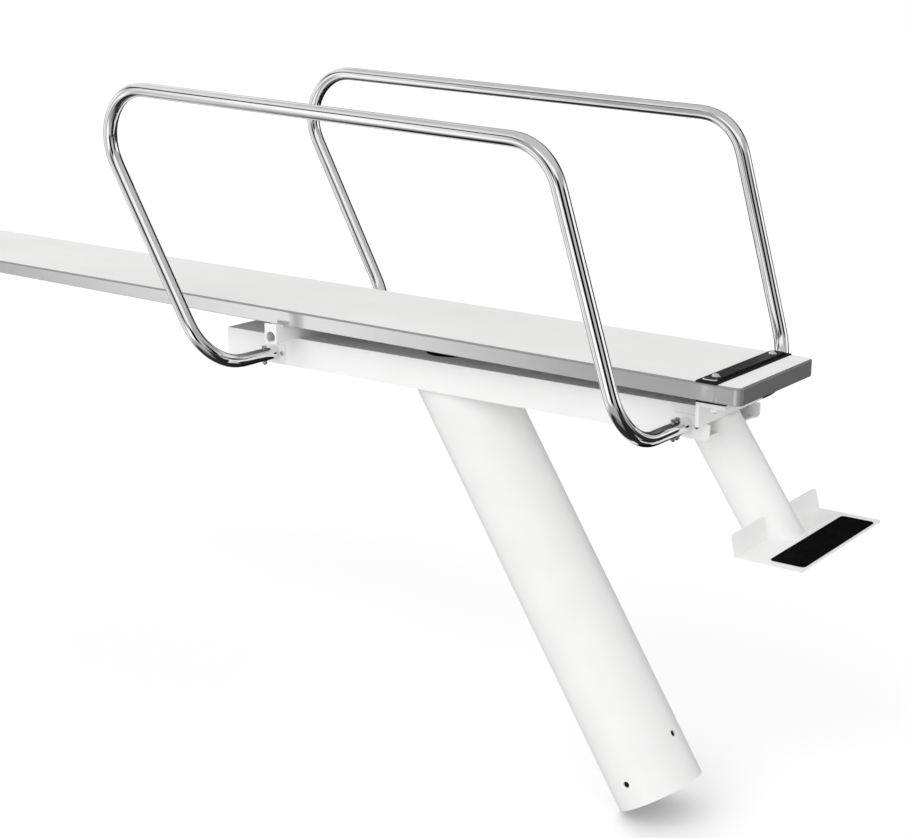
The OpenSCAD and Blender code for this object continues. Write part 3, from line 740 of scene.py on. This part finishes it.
# Painted shade: the darker skin on the faces that face partly up
second_finish(board, board_edge, lambda centre, normal: normal[:, 2] > 0.1)

coat_area = rectangle(BOARD_L - 2 * COAT_BORDER, BOARD_W - 2 * COAT_BORDER, (-BOARD_L / 2, 0))
coat_loop = rounded_outline(coat_area, BOARD_CORNER - COAT_BORDER, pitch=0.05)
coat_edge = edge_profile(BOARD_T, BOARD_T + COAT_T, 0, COAT_ROUND)
piece("board_coat", [on_board(slab(coat_loop, coat_edge))], ("board_tread",), "board_coat")

# The hold-down plate with its bevelled upper edges, on its rubber pad
pad_low = BOARD_T + COAT_T
plate_low = pad_low + PAD_T
plate_top = plate_low + PLATE_T
# Its edge, inset and height: an eased foot, an upright side, and a bevel that is eased at both ends
PLATE_EDGE = ((0.0004, 0), (0, 0.0004), (0, 0.0032), (0.0004, 0.0038), (0.0026, 0.0056), (0.0034, PLATE_T))
plate_edge = [(aside, plate_low + height) for aside, height in PLATE_EDGE]
plate_loop = rounded_outline(rectangle(PLATE_W, PLATE_L, (-BOLT_LINE, 0)), PLATE_CORNER, steps=10)
bar = piece("hold_down_bar", [on_board(slab(plate_loop, plate_edge))], ("hold_down_plate",),
            "hold_down_plate", 25)
# The bevel faces up, but not straight up. Its bright steel is partly a machined bevel and partly a painted
# highlight along the plate's edge
second_finish(bar, by_slot["bolts"], lambda centre, normal: (normal[:, 2] > 0.3) & (normal[:, 2] < 0.95))
pad_loop = rounded_outline(rectangle(PAD_W, BOARD_W, (-BOLT_LINE, 0)), PLATE_T, steps=8)
pad_edge = edge_profile(pad_low, plate_low, 0.0003, 0.001)
piece("hold_down_rubber", [on_board(slab(pad_loop, pad_edge))], ("hold_down_pad",), "black_rubber")


def domed_head(width, height, rim=0.0012):
    """Half section of a domed head, (radius, height): a short rim, then the arc of the circle through the rim
    and the crown."""
    r = ((width / 2) ** 2 + (height - rim) ** 2) / (2 * (height - rim))
    arc = np.linspace(math.asin(width / 2 / r), 0.02, 14)
    return [(width / 2, 0)] + [(r * math.sin(a), height - r + r * math.cos(a)) for a in arc]


# The hold-down bolts and their nuts under the rear angle
BOLT_PITCH, SMALL_PITCH = 0.002, 0.0015
grip_low = -REAR_PAD_T - ANGLE_T - FIT_GAP
nut_seat = grip_low - WASHER_T * BOLT_D
bolt_end = nut_seat - NUT_H * BOLT_D - THREAD_OUT
bolt_parts, nut_parts = [], []
for side in (-1, 1):
    x, y = -BOLT_LINE, side * BOLT_SPACING / 2
    dome = placed(turned(domed_head(DOME_D * BOLT_D, DOME_H * BOLT_D)), (x, y, plate_top))
    thread = placed(threaded(BOLT_D / 2, bolt_end, grip_low, BOLT_PITCH), (x, y, 0))
    shank = placed(turned([(BOLT_D / 2, grip_low), (BOLT_D / 2, plate_top)]), (x, y, 0))
    bolt_parts += [on_board(dome), on_board(thread), on_board(shank)]
    nut_parts.append(on_board(placed(nut(BOLT_D, nut_seat), (x, y, 0))))
piece("hold_down_domes", bolt_parts, ("hold_down_bolts",), "bolts")
piece("hold_down_hex_nuts", nut_parts, ("hold_down_nuts",), "bolts", 25, by_slot["white_frame"])


# The handrails
def rail_line(side):
    """Centre line of a handrail: from the frame's web out to the front foot, up to the top, back along it,
    down to the rear foot and in to the web."""
    middle = (RAIL_FRONT + RAIL_REAR) / 2

    def corner(place, rise):
        """A corner. The splay moves it out towards the rear, and the lean moves it out with its rise."""
        out = RAIL_HALF + (middle - place) * math.tan(RAIL_SPLAY) + rise * math.tan(RAIL_LEAN)
        return [ahead(place), side * out, RAIL_Z + rise]

    end_y = side * (FRAME_W / 2 + FLANGE_T + WELD_GAP)
    return bent_line([[ahead(RAIL_FRONT), end_y, RAIL_Z], corner(RAIL_FRONT, 0),
                      corner(RAIL_TOP_FRONT, RAIL_RISE_FRONT), corner(RAIL_TOP_REAR, RAIL_RISE_REAR),
                      corner(RAIL_REAR, 0), [ahead(RAIL_REAR), end_y, RAIL_Z]], RAIL_BEND)


for label, side in (("left", -1), ("right", 1)):
    rail = tube(rail_line(side), RAIL_D / 2, RAIL_D / 2 - RAIL_WALL)
    piece("handrail_" + label, [rail], ("rail_" + label,), "rail")


# The rails' bolts: two through each flange, one upright at each front foot and two at each rear foot
def hex_bolt(spot, up, head, seat):
    """Parts of a small bolt on an axis through the spot, and of its nut. The head stands on height head, and
    the nut's upper face is at height seat."""
    end = seat - NUT_H * SMALL_BOLT_D - THREAD_OUT
    crown = hexagon(NUT_AF * SMALL_BOLT_D, head, head + HEAD_H * SMALL_BOLT_D)
    thread = threaded(SMALL_BOLT_D / 2, end, head, SMALL_PITCH)
    return [placed(crown, spot, up), placed(thread, spot, up)], [placed(nut(SMALL_BOLT_D, seat), spot, up)]


web_y = FRAME_W / 2
crest = RAIL_D / 2 + FIT_GAP + WASHER_T * SMALL_BOLT_D
flange_bolts, upright_bolts = [], []
for side in (-1, 1):
    for place, uprights in ((RAIL_FRONT, 1), (RAIL_REAR, 2)):
        for shift in (-1, 1):
            spot = (ahead(place) + shift * FLANGE_BOLTS / 2, side * (web_y + FLANGE_T), RAIL_Z)
            flange_bolts.append(hex_bolt(spot, (0, side, 0), 0, -FLANGE_T - WEB_T))
        for number in range(uprights):
            spot = (ahead(place), side * (web_y + RAIL_BOLT_Y + number * RAIL_BOLT_STEP), RAIL_Z)
            upright_bolts.append(hex_bolt(spot, (0, 0, 1), crest, -crest))
# The rails' bolts and nuts get the darker copy of the bolt steel: painted shade
for label, node, made, finish in (("flange", "spigot", flange_bolts, by_slot["bolts"]),
                                  ("rail", "rail", upright_bolts, dark_steel)):
    for kind, sets in zip(("bolts", "nuts"), zip(*made)):
        piece(f"{label}_hex_{kind}", sum(sets, []), (f"{node}_{kind}",), "bolts", 25, finish)


# The pedestal with its four anchor bolt openings, and the step's tube
def bored(part, holes):
    """A part with round holes through it, each (point, direction, radius), cut by exact difference."""
    blank = bpy.data.meshes.new("blank")
    blank.from_pydata(part[0], [], part[1])
    stock = added("blank", blank)
    drills = []
    for point, direction, radius in holes:
        rod = turned([(radius, -PEDESTAL_D), (radius, PEDESTAL_D)], 40)
        points, faces = placed(rod, point, direction, DRILL_ASIDE)
        drill_mesh = bpy.data.meshes.new("drill")
        drill_mesh.from_pydata(points, [], faces)
        drills.append(added("drill", drill_mesh))
        cut = stock.modifiers.new("bore", "BOOLEAN")
        cut.operation, cut.object, cut.solver = "DIFFERENCE", drills[-1], "EXACT"
    graph = bpy.context.evaluated_depsgraph_get()
    mesh = bpy.data.meshes.new_from_object(stock.evaluated_get(graph))
    for thing in [stock, *drills]:
        bpy.data.objects.remove(thing)
    return mesh


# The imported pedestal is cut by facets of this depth, so its foot reaches less low than a round one's. The
# round one is drawn smaller by as much
FACET = 0.0002
pedestal_foot = np.zeros(3)
pedestal_part = raked_tube(pedestal_foot, PEDESTAL_RAKE, PEDESTAL_D / 2 - FACET, PEDESTAL_WALL - FACET,
                           lambda offset: np.zeros(len(offset)),
                           up_to(FRAME_TOP - COVER_T, pedestal_foot, PEDESTAL_RAKE),
                           steps=160, rows=40, socket=(SOCKET_DEPTH, SOCKET_EASE))
rake_axis, rake_around = raked_circle(PEDESTAL_RAKE, 4)
pedestal_mesh = bored(pedestal_part, [(rake_axis * ANCHOR_LOW, (0, 1, 0), ANCHOR_HOLE_D / 2),
                                      (rake_axis * ANCHOR_HIGH, rake_around[0], ANCHOR_HOLE_D / 2)])
pedestal = settled("pedestal", pedestal_mesh, ("pedestal_tube",), "white_pedestal")
# The inner wall's near-black is painted shade deep inside the tube
second_finish(pedestal, painted_shade_inside, lambda centre, normal: np.linalg.norm(
    centre - np.outer(centre @ rake_axis, rake_axis), axis=1) < PEDESTAL_D / 2 - PEDESTAL_WALL / 2)

step_foot = np.array([ahead(STEP_PLACE), 0, FRAME_BOTTOM])
step_part = raked_tube(step_foot, STEP_RAKE, STEP_D / 2, STEP_WALL, up_to(TREAD_TOP, step_foot, STEP_RAKE),
                       up_to(TAB_TOP - TREAD_T, step_foot, STEP_RAKE), steps=112, rows=12)
piece("step_post", [step_part], ("step_tube",), "white_pedestal", finish=by_slot["white_frame"])

# The weld seams: beads round the pedestal, round the step's tube and along the fulcrum bar, short of its ends
PEDESTAL_BEAD, STEP_BEAD, BAR_BEAD, BEAD_SHORT = 0.005, 0.004, 0.003, 0.004
bar_x = ahead(FULCRUM)
under_frame = meeting(step_foot, STEP_RAKE, STEP_D / 2, FRAME_BOTTOM, 600)
under_frame = under_frame[under_frame[:, 0] < ahead(BASE_REAR)]
over_tread = meeting(step_foot, STEP_RAKE, STEP_D / 2, TREAD_TOP, 600)
under_base = meeting(pedestal_foot, PEDESTAL_RAKE, PEDESTAL_D / 2, FRAME_BOTTOM)
seams = [bead(under_base, PEDESTAL_BEAD, closed=True), bead(under_frame, STEP_BEAD),
         bead(over_tread, STEP_BEAD, closed=True)]
for end in (-1, 1):
    x, y = bar_x + end * BAR_SIDE / 2, web_y - BEAD_SHORT
    seams.append(straight_bead([x, -y, FRAME_TOP], [x, y, FRAME_TOP], BAR_BEAD))
piece("weld_seams", seams, (), "white_frame", 60)

# The plates that close the fulcrum bar, each with its round opening
END_CORNER, END_LIP = 0.002, 0.0006


def end_plate(y):
    """Plate with a round hole, stood up across the bar: the outline's rings, then the hole's, whose points
    are on the rays from its centre to the outline's."""
    drop = (END_PLATE_H - BAR_SIDE - STRIP_T) / 4
    area = rectangle(BAR_SIDE, END_PLATE_H, (0, END_PLATE_H / 2 - drop))
    loop = rounded_outline(area, END_CORNER, steps=4, pitch=0.0015)
    centre = np.array([0, END_HOLE_H])
    ray = unit(loop - centre)
    high = END_PLATE_T / 2
    outer = [(END_LIP, -high), (0, END_LIP - high), (0, high - END_LIP), (END_LIP, high)]
    stack = [lifted(inset(loop, aside), height) for aside, height in outer]
    stack += [lifted(centre + ray * (END_HOLE_D / 2 + aside), height) for aside, height in outer[::-1]]
    across, up, through = np.concatenate(stack).T
    points = np.column_stack([across, -through, up]) + [bar_x, y, FRAME_TOP]
    return points, quads(len(stack), len(loop), close_rows=True)


end_plates = [end_plate(side * (BAR_L - END_PLATE_T) / 2) for side in (-1, 1)]
piece("fulcrum_eye_plates", end_plates, ("fulcrum_end_plates",), "white_frame")

# The rubber on the step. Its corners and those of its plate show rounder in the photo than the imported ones
RUBBER_CORNER, TREAD_CORNER = 0.013, 0.012
rubber_x = ahead(-TREAD_FRONT) + TREAD_DEPTH - RUBBER_EDGE - RUBBER_W / 2
rubber_loop = rounded_outline(rectangle(RUBBER_W, RUBBER_L, (rubber_x, 0)), RUBBER_CORNER, steps=10)
rubber_edge = edge_profile(TREAD_TOP, TREAD_TOP + RUBBER_T, 0, 0.0012)
piece("step_rubber", [slab(rubber_loop, rubber_edge)], ("step_tread",), "tread_rubber")

# Plates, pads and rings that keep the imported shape, with edges rounded to a width
for name, node, slot, width in (
        ("rear_bracket", "rear_angle", "white_frame", 0.0022),
        ("web_left", "side_plate_left", "white_frame", 0.001),
        ("web_right", "side_plate_right", "white_frame", 0.001),
        ("frame_top", "top_plate", "white_frame", 0.0008),
        ("frame_base", "bottom_plate", "white_frame", 0.0008),
        ("frame_nose", "front_plate", "white_frame", 0.0008),
        ("frame_stiffeners", "frame_ribs", "white_frame", 0.0006),
        ("fulcrum_box", "fulcrum_bar", "white_frame", 0.0024),
        ("fulcrum_strip", "fulcrum_pad", "pale_rubber", 0.001),
        ("rear_rubber", "rear_pad", "black_rubber", 0.001),
        ("spigots", "rail_spigots", "white_frame", 0.0006),
        ("step_lid", "step_cap", "white_frame", 0.0006),
        ("hold_down_rings", "hold_down_washers", "bolts", 0.0003),
        ("rail_rings", "rail_washers", "bolts", 0.0002)):
    softened(name, node, slot, width)
# The folded step wears the lighter copy of the white coat: painted light
softened("folded_step", "step_plate", "white_frame", 0.0012, (rubber_x, TREAD_CORNER), step_white_painted_light)

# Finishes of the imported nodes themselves, those out of sight too
for part in frame["record"]["subparts"]:
    mesh = cad_nodes[part["node"]].data
    mesh.materials.clear()
    mesh.materials.append(by_slot[part["material_slot"]])

# The studio's floor, just under the lowest point of the pedestal's foot
FLOOR_SIDE, FLOOR_GAP, FLOOR_GLOW = 120, 0.001, 0.22


def white_floor():
    """Pale floor that keeps the shadow: lit paint, and for the camera a little light of its own."""
    paint = Finish("studio_floor", (0.86, 0.86, 0.86), 0.9)
    paint.set("Base Color", paint.ramp(paint.noise(0.8, 2), [(0.3, 0.855), (0.7, 0.865)]))
    seen = paint.node("ShaderNodeLightPath").outputs["Is Camera Ray"]
    paint.shader.inputs["Emission Color"].default_value = (1, 1, 1, 1)
    paint.set("Emission Strength", paint.maths("MULTIPLY", seen, FLOOR_GLOW))
    return paint.material


floor_z = -PEDESTAL_D / 2 * math.sin(PEDESTAL_RAKE) - FLOOR_GAP
floor_mesh = bpy.data.meshes.new("floor")
floor_mesh.from_pydata(lifted(rectangle(FLOOR_SIDE, FLOOR_SIDE), floor_z), [], [(0, 1, 2, 3)])
floor_mesh.materials.append(white_floor())
floor = added("floor", floor_mesh)
floor.visible_glossy = False

# The camera, and the light that the world sheds on paint
CAMERA_AZIMUTH = 36.42
CAMERA_PLACE = Vector((2.5491, -4.6385, 2.7236))
CAMERA_RIGHT, CAMERA_UP = Vector((0.80469, 0.59370, 0.0)), Vector((-0.15396, 0.20867, 0.96579))
WORLD_LIGHT = 0.80
# What polished metal sees round the stand: soft-edged screens and gaps, each painted over those before it, as
# degrees to the right of the camera's side, half width, lowest and highest elevation, grey and soft edge
STUDIO_GREY = 0.45
SCREENS = (
    (0, 200, 37, 95, 0.60, 3), (0, 200, -95, -42, 0.03, 3), (-5, 35, -60, -42, 0.20, 4),
    (-75, 62, -44, 21, 0.42, 3), (-92, 10, -36, -19, 0.64, 3), (-92, 10, -4, 16, 0.60, 3),
    (-113, 13, -36, 16, 1.08, 3), (-79, 6, -36, 16, 1.15, 5), (-36, 18, -24, 2, 1.20, 3),
    (-15, 35, 20, 38, 1.05, 3), (-95, 35, 30, 48, 0.85, 3), (-86, 24, 19, 28, 0.03, 2),
    (31, 12, -3, 20, 0.58, 3), (-1, 13, -14, 19, 0, 1.5), (-42, 10, 2, 15, 0.01, 2),
    (59, 15, -10, 20, 0, 2), (95, 20, 3, 20, 1.10, 2), (108, 18, -12, 0, 0.02, 2),
    (147, 29, -60, 34, 0, 3), (78, 55, -75, -10, 0.02, 3), (82, 8, -36, -27, 0.40, 2),
    (-152, 18, 3, 45, 0.90, 3), (-151, 19, -26, 0, 0.12, 3), (171, 7, 7, 18, 0.45, 2))


def studio_world():
    """White to the camera, an even white light on the object, and the screens to polished metal."""
    world = bpy.data.worlds.new("studio")
    bpy.context.scene.world = world
    world.use_nodes = True
    sky = Wiring(world.node_tree)
    sky.tree.nodes.clear()
    split = sky.node("ShaderNodeSeparateXYZ")
    sky.link(sky.node("ShaderNodeTexCoord").outputs["Generated"], split.inputs[0])
    x, y, z = split.outputs
    height = sky.maths("DEGREES", sky.maths("ARCSINE", z))
    heading = sky.maths("ADD", sky.maths("DEGREES", sky.maths("ARCTAN2", y, x)), 90 - CAMERA_AZIMUTH)
    tone = (STUDIO_GREY,) * 3
    for middle, half, low, high, grey, soft in SCREENS:
        aside = sky.maths("ABSOLUTE", sky.maths("WRAP", sky.maths("SUBTRACT", heading, middle), 180, -180))
        share = sky.spread(aside, 1, 0, half - soft, half + soft)
        share = sky.maths("MULTIPLY", share, sky.spread(height, 0, 1, low - soft, low + soft))
        share = sky.maths("MULTIPLY", share, sky.spread(height, 1, 0, high - soft, high + soft))
        tone = sky.mixed(share, tone, (grey,) * 3)

    def background(strength, color=None):
        """Light of this strength, white unless a colour is given."""
        made = sky.node("ShaderNodeBackground")
        made.inputs["Strength"].default_value = strength
        made.inputs["Color"].default_value = (1, 1, 1, 1)
        if color:
            sky.link(color, made.inputs["Color"])
        return made.outputs[0]

    def choose(share, a, b):
        """Shader a where the share is 0, and b where it is 1."""
        made = sky.node("ShaderNodeMixShader")
        for socket, source in zip(made.inputs, (share, a, b)):
            sky.link(source, socket)
        return made.outputs[0]

    path = sky.node("ShaderNodeLightPath")
    lit = choose(path.outputs["Is Glossy Ray"], background(WORLD_LIGHT), background(1.0, tone))
    shown = choose(path.outputs["Is Camera Ray"], lit, background(1.0))
    sky.link(shown, sky.node("ShaderNodeOutputWorld").inputs[0])


studio_world()

# Two wide suns: name, strength, spread in degrees and the way its light travels
SUNS = (("key", 0.92, 50, (0.12, 0.81, -0.57)), ("fill", 0.25, 30, (-0.75, 0.55, -0.25)))
for name, energy, spread, travel in SUNS:
    lamp = added(name, bpy.data.lights.new(name, "SUN"))
    lamp.data.energy, lamp.data.angle = energy, math.radians(spread)
    lamp.rotation_mode = "QUATERNION"
    lamp.rotation_quaternion = Vector(travel).to_track_quat("-Z", "Y")
    lamp.visible_glossy = False

camera = added("camera", bpy.data.cameras.new("camera"))
camera.data.lens, camera.data.sensor_width = 66.81, 36.0
camera.data.clip_start, camera.data.clip_end = 0.05, 500
facing = Matrix((CAMERA_RIGHT, CAMERA_UP, CAMERA_RIGHT.cross(CAMERA_UP))).transposed()
camera.matrix_world = Matrix.Translation(CAMERA_PLACE) @ facing.to_4x4()
bpy.context.scene.camera = camera
bpy.context.scene.view_settings.view_transform = "Standard"
